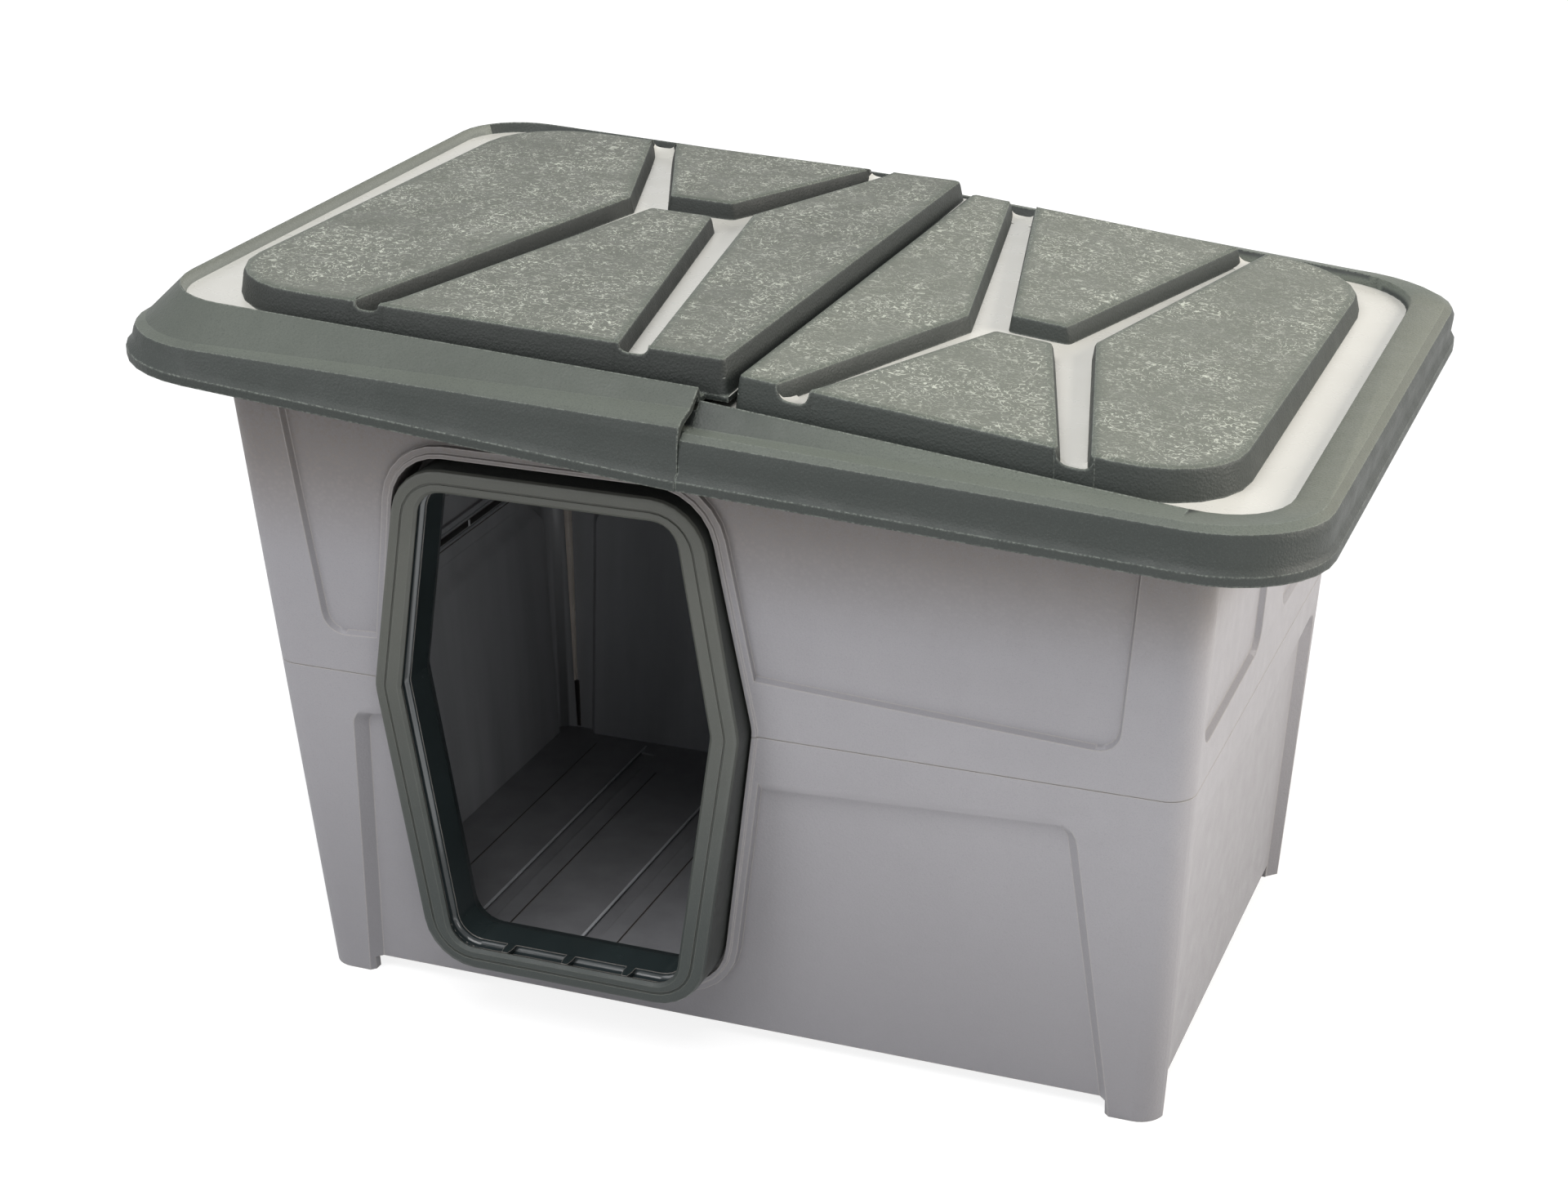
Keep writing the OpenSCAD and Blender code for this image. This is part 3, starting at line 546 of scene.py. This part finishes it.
# the pale colour of the channels' floors is a painted reflection of the lamps
STRIP = strip_plastic("roof_strip", (0.63, 0.62, 0.57), (0.070, 0.085, 0.074))
RING_SHINE = gloss_plastic("ring_shine", (0.022, 0.029, 0.031), 0.13, 0.5 * MM)
DARK_SLOT = gloss_plastic("slot_dark", (0.010, 0.008, 0.008), 0.5, 0.5 * MM)
# pale strip that paints the highlight of light catching the back corners
CORNER_HIGHLIGHT = gloss_plastic("corner_highlight_pale", (0.80, 0.73, 0.65), 0.30, 0.5 * MM)
PALE_LINE = inner_plastic("line_pale", (0.55, 0.56, 0.58))


# Pieces
SMOOTH_ANGLE = math.radians(32)
CRISP_ANGLE = math.radians(19)
RELIEF_ANGLE = math.radians(14)
FLAT_ANGLE = math.radians(0.15)
WELD = 0.002 * MM


def add_piece(name, mesh, body, materials, angle=SMOOTH_ANGLE, node=None):
    """A piece that rides a body; edges above the angle stay sharp, long flat faces stay flat."""
    for material in materials:
        mesh.materials.append(material)
    piece = placed(name, mesh)
    mesh.set_sharp_from_angle(angle=angle)
    weighted = piece.modifiers.new("even_shading", "WEIGHTED_NORMAL")
    weighted.mode = "FACE_AREA"
    weighted.keep_sharp = True
    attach(piece, body)
    if node:
        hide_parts(node)


def swept(name, body, materials, rings, closed_path=False, pick=None):
    """A closed skin through rings of equally many points.

    A closed path joins its ends. pick gives the material of the face at a ring and a point.
    """
    count = len(rings[0])
    points = [tuple(point) for ring in rings for point in ring]
    faces = []
    kinds = []
    for i in range(len(rings) if closed_path else len(rings) - 1):
        j = (i + 1) % len(rings)
        for k in range(count):
            q = (k + 1) % count
            faces.append((i * count + k, i * count + q, j * count + q, j * count + k))
            kinds.append(pick(i, k) if pick else 0)
    if not closed_path:
        faces.append(tuple(range(count)))
        faces.append(tuple(range(len(points) - count, len(points))))
        kinds += [0, 0]
    mesh = bpy.data.meshes.new(name)
    mesh.from_pydata(points, [], faces)
    mesh.update()
    bm = bmesh.new()
    bm.from_mesh(mesh)
    bmesh.ops.recalc_face_normals(bm, faces=bm.faces)
    for face, kind in zip(bm.faces, kinds):
        face.smooth = True
        face.material_index = kind
    bm.to_mesh(mesh)
    bm.free()
    add_piece(name, mesh, body, materials)


def dressed(node, body, materials, sort_face=None, angle=SMOOTH_ANGLE, reshape=None):
    """A welded copy of a CAD node with smooth curves, in place of the node."""
    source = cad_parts[node]
    bm = bmesh.new()
    bm.from_mesh(source.data)
    bmesh.ops.remove_doubles(bm, verts=bm.verts, dist=WELD)
    bmesh.ops.dissolve_limit(bm, angle_limit=FLAT_ANGLE, verts=bm.verts, edges=bm.edges)
    if reshape:
        for vertex in bm.verts:
            vertex.co = reshape(vertex.co)
    bmesh.ops.recalc_face_normals(bm, faces=bm.faces)
    for face in bm.faces:
        face.smooth = True
        face.material_index = sort_face(face) if sort_face else 0
    mesh = bpy.data.meshes.new(node + "_skin")
    bm.to_mesh(mesh)
    bm.free()
    add_piece(node + "_skin", mesh, body, materials, angle, node)


# Walls, with the sizes of the CAD source
FOOT_HALF = (0.2745, 0.173)
WALL_LEAN = (0.058, 0.0865)
WALL_THICK = 3 * MM
FLOOR_Z = 20 * MM
# outer edges of the two lower front fields, and how they slant on the left and the right
FIELD_SIDE_X = (228.5 * MM, 245.8 * MM)
FIELD_FRONT_Y = -165 * MM
FIELD_SIDE_Z = (20.5 * MM, 198 * MM)
FIELD_SLANT = {-1: 0.055, 1: -0.125}


def wall_faces(face):
    """1 for the inside of the walls, 2 for the floor, else 0."""
    x, y, z = face.calc_center_median()
    if face.normal.z > 0.9 and abs(z - FLOOR_Z) < 3 * MM:
        return 2
    gap_x = FOOT_HALF[0] + WALL_LEAN[0] * z - abs(x)
    gap_y = FOOT_HALF[1] + WALL_LEAN[1] * z - abs(y)
    if gap_x < gap_y:
        inward = -face.normal.x * math.copysign(1, x)
    else:
        inward = -face.normal.y * math.copysign(1, y)
    return 1 if inward > 0.2 and min(gap_x, gap_y) > WALL_THICK / 2 else 0


def slanted_low(point):
    """Slants the outer edges of the lower front fields, so that the corner posts narrow."""
    x, y, z = point
    in_edge = FIELD_SIDE_X[0] < abs(x) < FIELD_SIDE_X[1] and y < FIELD_FRONT_Y
    if not in_edge or not FIELD_SIDE_Z[0] <= z < FIELD_SIDE_Z[1]:
        return point
    slant = FIELD_SLANT[1 if x > 0 else -1]
    return Vector((x + slant * (z - FLOOR_Z), y, z))


# Roof, with the planes of the CAD source: the first of two values is the left half's
ROOF_HALF = (0.35699, 0.25801)
ROOF_CORNER = 0.066
TOP_Z, TOP_SLOPE = (0.4525, 0.447), (0.045, 0.112)
BASE_Z, BASE_SLOPE, BASE_SLOPE_Y = (0.436, 0.4293), (0.058, 0.102), 0.018
CREASE_Z, CREASE_SLOPE = (0.4235, 0.4168), (0.038, 0.053)
SKIRT_Z, SKIRT_SLOPE = (0.391, 0.391), (0.084, 0.050)
CHANNEL_DEPTH = 11 * MM
FIELD_HALF = (0.3045, 0.2145)
STRIP_HALF = (0.3285, 0.2205)
LAP_HALF = 0.04
ON_PLANE = 0.8 * MM
END_WALL_X = -0.32
LIP_HEIGHT = 11 * MM
# how far the crease and the lip are set out at the ends, and where they are found
CREASE_OUT = (3.0 * MM, 5.0 * MM)
CREASE_INSET = 16 * MM
CREASE_REACH = 7 * MM
LIP_OUT = (0.0, 2.0 * MM)
LIP_INSET = (3.9 * MM, 10 * MM)
LIP_RISE = (7 * MM, 12 * MM)
LEAST_INSET = 0.5 * MM


def top_plane(half, x):
    return TOP_Z[half] - TOP_SLOPE[half] * x


def base_plane(half, x, y):
    return BASE_Z[half] - BASE_SLOPE[half] * x + BASE_SLOPE_Y * y


def skirt_plane(half, x):
    return SKIRT_Z[half] - SKIRT_SLOPE[half] * x


def end_share(x, y):
    """How far the roof's outline faces its end here, and the distance inside it."""
    u = abs(x) - (ROOF_HALF[0] - ROOF_CORNER)
    v = abs(y) - (ROOF_HALF[1] - ROOF_CORNER)
    if u > 0 and v > 0:
        far_out = math.hypot(u, v)
        return (u / far_out) ** 2, ROOF_CORNER - far_out
    if ROOF_HALF[0] - abs(x) < ROOF_HALF[1] - abs(y):
        return 1.0, ROOF_HALF[0] - abs(x)
    return 0.0, ROOF_HALF[1] - abs(y)


def fuller_end(half):
    """Sets the crease at a half's end further out, where the rim runs on nearly to the edge."""
    def move(point):
        share, inset = end_share(point.x, point.y)
        crease = CREASE_Z[half] - CREASE_SLOPE[half] * point.x
        over_skirt = point.z - skirt_plane(half, point.x)
        out = 0.0
        if inset < CREASE_INSET and point.z > crease - CREASE_REACH:
            out = CREASE_OUT[half]
        elif LIP_INSET[0] < inset < LIP_INSET[1] and LIP_RISE[0] < over_skirt < LIP_RISE[1]:
            out = LIP_OUT[half]
        if not out or not share or inset - out < LEAST_INSET:
            return point
        return Vector((point.x + math.copysign(out * share, point.x), point.y, point.z))
    return move


def roof_faces(half):
    """Sorts a half's faces: 1 floors with a pale painted reflection, 2 islands, 3 the left end's
    rim wall with a pale painted reflection, 4 the lip, else 0.
    """
    def sort(face):
        x, y, z = face.calc_center_median()
        base = base_plane(half, x, y)
        floor = top_plane(half, x) - CHANNEL_DEPTH
        in_field = abs(x) < FIELD_HALF[0] and abs(y) < FIELD_HALF[1]
        in_rim = abs(x) < STRIP_HALF[0] and abs(y) < STRIP_HALF[1]
        if face.normal.z > 0.9 and in_rim:
            on_base = abs(z - base) < ON_PLANE and abs(x) > LAP_HALF
            if on_base or (in_field and abs(z - floor) < ON_PLANE):
                return 1
        if in_field and z > base + 1 * MM:
            return 2
        if z < skirt_plane(half, x) + LIP_HEIGHT:
            return 4
        rim_wall = face.normal.x > 0.5 and x < END_WALL_X and z > base + 0.5 * MM
        return 3 if rim_wall else 0
    return sort


# Rounded sills at the outer ends of the roof's channels
FIELD_EDGE = 213.0 * MM
FIELD_DRAFT = 2.5 * MM
EDGE_ROUND = 3.0 * MM
ROUND_STEP = 0.3 * EDGE_ROUND
MOUTH_LENGTH = 17 * MM
MOUTH_HALF = 12 * MM
MOUTH_END_HALF = 11.3 * MM
MOUTH_UNDER = 12.6 * MM
# places across a sill, where 1 is the channel's edge and more is the part hidden in the field
ACROSS = (-1, -0.985, -0.95, -0.88, -0.75, -0.55, -0.3, 0, 0.3, 0.55, 0.75, 0.88, 0.95, 0.985, 1)
HIDDEN = (1.15, 1.5, 1.6)
PLACES = tuple(-place for place in reversed(HIDDEN)) + ACROSS + HIDDEN
SILL_SHARES = (0.33, 0.5, 0.7, 0.85, 1)
SILL_PROUD = 0.12 * MM
SILL_SUNK = 0.5 * MM
SILL_LIP = 0.9 * MM
TUCKED = 0.04 * MM
INNER_END = CHANNEL_DEPTH + 0.25 * MM
UNDERSIDE = (3.4 * MM, 2.6 * MM)
# rings and points of a sill that take the channels' floors' pale painted reflection
PALE_RINGS = range(6, 14)
PALE_POINTS = range(3, 8)
# half of the roof, front or back, place along x, point it runs to, depth and half width of its end
MOUTHS = {
    "mouth_left_a": (0, -1, -0.196, (-0.144, 0.060), 5.0 * MM, 7.6 * MM),
    "mouth_left_b": (0, -1, -0.030, (-0.081, 0.060), 5.2 * MM, 8.8 * MM),
    "mouth_left_c": (0, 1, -0.194, (-0.144, 0.074), 5.0 * MM, 8.0 * MM),
    "mouth_left_d": (0, 1, -0.031, (-0.081, 0.074), 5.2 * MM, 8.8 * MM),
    "mouth_right_a": (1, -1, 0.062, (0.117, -0.040), 9.0 * MM, 9.4 * MM),
    "mouth_right_b": (1, -1, 0.221, (0.172, -0.040), 9.0 * MM, 10.4 * MM),
    "mouth_right_c": (1, 1, 0.066, (0.117, -0.026), 9.0 * MM, 9.4 * MM),
    "mouth_right_d": (1, 1, 0.223, (0.172, -0.026), 9.0 * MM, 10.4 * MM),
}


def blend(a, b, share):
    return a + (b - a) * share


def side_inset(depth, height):
    """How far a field's side stands back from its foot, at a depth under the top."""
    if depth >= EDGE_ROUND:
        return FIELD_DRAFT * (height - depth) / (height - EDGE_ROUND)
    if depth > ROUND_STEP:
        part = (EDGE_ROUND - depth) / (EDGE_ROUND - ROUND_STEP)
        return FIELD_DRAFT + ROUND_STEP * part
    return FIELD_DRAFT + EDGE_ROUND * (1 - 0.7 * depth / ROUND_STEP)


def sill_section(place, depth, height):
    """A sill's outline at a place across, as distances back and down and shares of the way in.

    It runs up the field's side, over the rounded lip, in along the sill and back underneath.
    """
    bow = (1 - min(1, abs(place)) ** 4) ** 0.5
    deep = depth * bow
    inner = min(1, deep / EDGE_ROUND)
    proud = SILL_PROUD if abs(place) < HIDDEN[1] else -SILL_SUNK
    foot = max(deep + SILL_LIP, EDGE_ROUND)
    at_top = side_inset(max(deep, EDGE_ROUND), height)
    corner_back = blend(side_inset(ROUND_STEP, height), at_top + 0.3 * MM, inner) - proud
    section = [
        (-proud, height, 0),
        (side_inset(foot, height) - proud, foot, 0),
        (corner_back, deep + blend(ROUND_STEP, 0.25 * MM, inner), 0),
        (blend(side_inset(0, height), at_top + 1.1 * MM, inner), deep - (1 - inner) * TUCKED, 0),
    ]
    for share in SILL_SHARES:
        down = bow * blend(depth, INNER_END, min(1, 1.5 * share))
        section.append((share * MOUTH_LENGTH, down - (TUCKED if abs(place) >= 1 else 0), share))
    section += [
        (MOUTH_LENGTH, MOUTH_UNDER, 1),
        (UNDERSIDE[0], MOUTH_UNDER, 0),
        (UNDERSIDE[1], height, 0),
    ]
    return section


def add_mouths():
    """Closes the outer end of each channel with a low rounded sill."""
    for name, (half, front, x0, (x1, y1), depth, half_width) in MOUTHS.items():
        lean = (x1 - x0) / (FIELD_EDGE - front * y1)
        rings = []
        for place in PLACES:
            beyond = max(0, abs(place) - 1) / (HIDDEN[-1] - 1)
            off = blend(half_width * min(1, abs(place)), MOUTH_HALF, beyond)
            x = x0 + math.copysign(off, place)
            height = top_plane(half, x) - base_plane(half, x, front * FIELD_EDGE) + 2 * MM
            ring = []
            for back, down, share in sill_section(place, depth, height):
                wide = blend(half_width, MOUTH_END_HALF, share)
                spread = place * wide
                if abs(place) > 1:
                    spread = math.copysign(max(off, wide + 0.6 * MM * abs(place)), place)
                x = x0 + lean * back + spread
                ring.append((x, front * (FIELD_EDGE - back), top_plane(half, x) - down))
            rings.append(ring)
        body = ("left_roof", "right_roof")[half]
        swept(name, body, [ROOF_TOP, STRIP], rings,
              pick=lambda i, k: 1 if i in PALE_RINGS and k in PALE_POINTS else 0)


# Doorway, in millimetres
DOOR_X = -89.0
DOOR_FRONT_Y = -211.0
DOOR_CENTRE_Z = 205.0
DOOR_LOW, DOOR_MIDDLE, DOOR_HIGH = 40, 223, 365
DOOR_CORNERS = (
    (-89.0, DOOR_LOW), (89.0, DOOR_LOW), (117.5, DOOR_MIDDLE),
    (95.0, DOOR_HIGH), (-95.0, DOOR_HIGH), (-117.5, DOOR_MIDDLE),
)
DOOR_RADII = (34, 34, 26, 34, 34, 26)
LEAST_RADIUS = 1.5
BEZEL = 17.5
BEZEL_END = 14.0
CHANNEL_BACK = 14.0
FILLET_OUT = 4.0
FILLET_BACK = 4.5
FILLET_STEPS = 8
ARC_STEPS = 8


def frame_faces(face):
    """1 for the glossy sides of the doorway's tunnel, 2 for the frame's outer sides in painted
    shade, else 0.
    """
    x, y, z = face.calc_center_median()
    to_centre = (DOOR_X * MM - x) * face.normal.x + (DOOR_CENTRE_Z * MM - z) * face.normal.z
    behind = y > (DOOR_FRONT_Y + 2.5) * MM
    if behind and (to_centre > 0.01 or face.normal.y > 0.5):
        return 1
    return 2 if behind and abs(face.normal.y) < 0.3 else 0


def corner_inside(corners, i, distance):
    """Corner i with both its sides moved inwards, and the two sides' inward directions."""
    before = (corners[i] - corners[i - 1]).normalized().orthogonal()
    after = (corners[(i + 1) % len(corners)] - corners[i]).normalized().orthogonal()
    moved = corners[i] + distance * (before + after) / (1 + before.dot(after))
    return moved, before, after


def door_outline(inset):
    """The opening's rounded outline, moved inwards by inset."""
    moved = BEZEL + inset
    shift = {DOOR_LOW: BEZEL_END - BEZEL, DOOR_MIDDLE: 0, DOOR_HIGH: BEZEL - BEZEL_END}
    corners = [Vector((x, z + shift[z])) for x, z in DOOR_CORNERS]
    inner = [corner_inside(corners, i, moved)[0] for i in range(len(corners))]
    outline = []
    for i, door_radius in enumerate(DOOR_RADII):
        radius = max(door_radius - moved, LEAST_RADIUS)
        centre, before, after = corner_inside(inner, i, radius)
        for step in range(ARC_STEPS + 1):
            spoke = -(before.lerp(after, step / ARC_STEPS)).normalized()
            outline.append(centre + radius * spoke)
    return outline


def add_door_fillet():
    """Hollow glossy fillet in the back corner of the frame's channel."""
    profile = [(-FILLET_OUT - 0.15, CHANNEL_BACK - 5.0)]
    for step in range(FILLET_STEPS + 1):
        turn = math.radians(90 * step / FILLET_STEPS)
        back = CHANNEL_BACK - FILLET_BACK * (1 - math.sin(turn))
        profile.append((-FILLET_OUT * math.cos(turn), back))
    profile += [(0.0, CHANNEL_BACK + 0.2), (-FILLET_OUT - 0.3, CHANNEL_BACK + 0.3)]
    lines = [(door_outline(out), back) for out, back in profile]
    rings = []
    for place in range(len(lines[0][0])):
        rings.append([((DOOR_X + line[place].x) * MM, (DOOR_FRONT_Y + back) * MM,
                       line[place].y * MM) for line, back in lines])
    swept("door_channel_fillet", "house", [RING_SHINE], rings, closed_path=True)


# Inside of the house, in millimetres
DOME = ((-1, -0.6), (-1, 0.45), (-0.55, 1), (0.55, 1), (1, 0.45), (1, -0.6))
SUNK = 0.8
ALONG_X, ALONG_Y, ALONG_Z = (1, 0, 0), (0, 1, 0), (0, 0, 1)
GROOVES = 6
GROOVE_START = -195.5
GROOVE_PITCH = 76.0
GROOVE_WIDTH = 24.5
GUTTER_X = 232
# bars along the floor: back end, widths in front and at the back, rise and material
FLOOR_FRONT = -146
FLOOR_BARS = {
    "rib": (158, (2.4, 1.6), 0.5, PALE_LINE),
    "line": (120, (1.4, 1.0), 0.15, DARK_SLOT),
    "gutter": (150, (1.4, 1.0), 0.15, DARK_SLOT),
}
JOINT_INSET = 2.8
JOINT_Y = (-150, 152)
# bars along the joint of the two storeys: height of the middle, width, rise and material
JOINT_BARS = {
    "slot": (219.6, 5.0, 0.3, DARK_SLOT),
    "ledge": (215.4, 2.2, 0.9, INSIDE),
    "shade": (213.4, 0.9, 0.25, DARK_SLOT),
    "brow": (223.6, 1.6, 0.7, INSIDE),
}
JOINT_RIBS = 5
JOINT_RIB_START = -110
JOINT_RIB_PITCH = 57
JOINT_RIB_HALF = 2.2
JOINT_RIB_WIDTH = 2.2
JOINT_RIB_RISE = 0.9
# bars in the back corners: lower and upper end, widths there, rise and material; the pale rib is a
# painted highlight where light catches the rounded corner
CORNER_X = 254.8
CORNER_BARS = {
    "rib": (58, 385, (1.4, 13.0), 4.0, CORNER_HIGHLIGHT),
    "notch": (21, 57, (3.0, 4.4), 0.5, DARK_SLOT),
}


def add_bar(name, material, start, end, side, out, widths, rise):
    """Low bar with rounded edges along a surface, from start to end."""
    rings = []
    for place, width in ((start, widths[0]), (end, widths[1])):
        ring = []
        for across, up in DOME:
            lift = Vector(out) * max(up * rise, -SUNK)
            ring.append((Vector(place) + Vector(side) * (across * width / 2) + lift) * MM)
        rings.append(ring)
    swept(name, "house", [material], rings)


def add_floor_bar(part, word, x):
    back, widths, rise, material = FLOOR_BARS[part]
    start, end = (x, FLOOR_FRONT, FLOOR_Z / MM), (x, back, FLOOR_Z / MM)
    add_bar(f"floor_{part}_{word}", material, start, end, ALONG_X, ALONG_Z, widths, rise)


def inner_wall(axis, z, inset=0.0):
    """Distance of the walls' inner face from the middle, along x (0) or y (1), at a height."""
    return (FOOT_HALF[axis] - WALL_THICK) / MM + WALL_LEAN[axis] * z - inset


def add_inside():
    """Lines of the floor's grooves, the joint's slot on the end walls, and in the back corners a
    pale painted highlight strip and a dark notch.
    """
    for k in range(GROOVES):
        x = GROOVE_START + k * GROOVE_PITCH
        add_floor_bar("rib", k, x)
        add_floor_bar("line", k, x + GROOVE_WIDTH)
    for side, word in ((-1, "left"), (1, "right")):
        inwards = (-side, 0, 0)
        add_floor_bar("gutter", word, side * GUTTER_X)
        for part, (z, width, rise, material) in JOINT_BARS.items():
            x = side * inner_wall(0, z, JOINT_INSET)
            start, end = (x, JOINT_Y[0], z), (x, JOINT_Y[1], z)
            add_bar(f"joint_{part}_{word}", material, start, end, ALONG_Z, inwards,
                    (width, width), rise)
        slot_z = JOINT_BARS["slot"][0]
        x = side * inner_wall(0, slot_z, JOINT_INSET)
        for k in range(JOINT_RIBS):
            y = JOINT_RIB_START + JOINT_RIB_PITCH * k
            start, end = (x, y, slot_z - JOINT_RIB_HALF), (x, y, slot_z + JOINT_RIB_HALF)
            add_bar(f"joint_rib_{word}_{k}", PALE_LINE, start, end, ALONG_Y, inwards,
                    (JOINT_RIB_WIDTH, JOINT_RIB_WIDTH), JOINT_RIB_RISE)
        for part, (z0, z1, widths, rise, material) in CORNER_BARS.items():
            start, end = [(side * (CORNER_X + WALL_LEAN[0] * z), inner_wall(1, z), z)
                          for z in (z0, z1)]
            add_bar(f"corner_{part}_{word}", material, start, end, ALONG_X, (0, -1, 0),
                    widths, rise)


add_camera()
add_world()
add_floor()
add_lamps()

WALL_MATERIALS = [WALL, INSIDE, FLOOR]
ROOF_MATERIALS = [ROOF, STRIP, ROOF_TOP, RIM_REFLECTION, ROOF_LIP]
dressed("lower_tub", "house", WALL_MATERIALS, wall_faces, RELIEF_ANGLE,
        slanted_low)
dressed("upper_wall_ring", "house", WALL_MATERIALS, wall_faces, RELIEF_ANGLE)
dressed("door_frame", "house", [FRAME, RING, FRAME_SIDE_SHADE], frame_faces)
dressed("inner_door_ring", "house", [RING])
dressed("roof_left", "left_roof", ROOF_MATERIALS, roof_faces(0), CRISP_ANGLE,
        fuller_end(0))
dressed("roof_right", "right_roof", ROOF_MATERIALS, roof_faces(1), CRISP_ANGLE,
        fuller_end(1))

add_mouths()
add_door_fillet()
add_inside()

bpy.context.scene.view_settings.view_transform = "Standard"
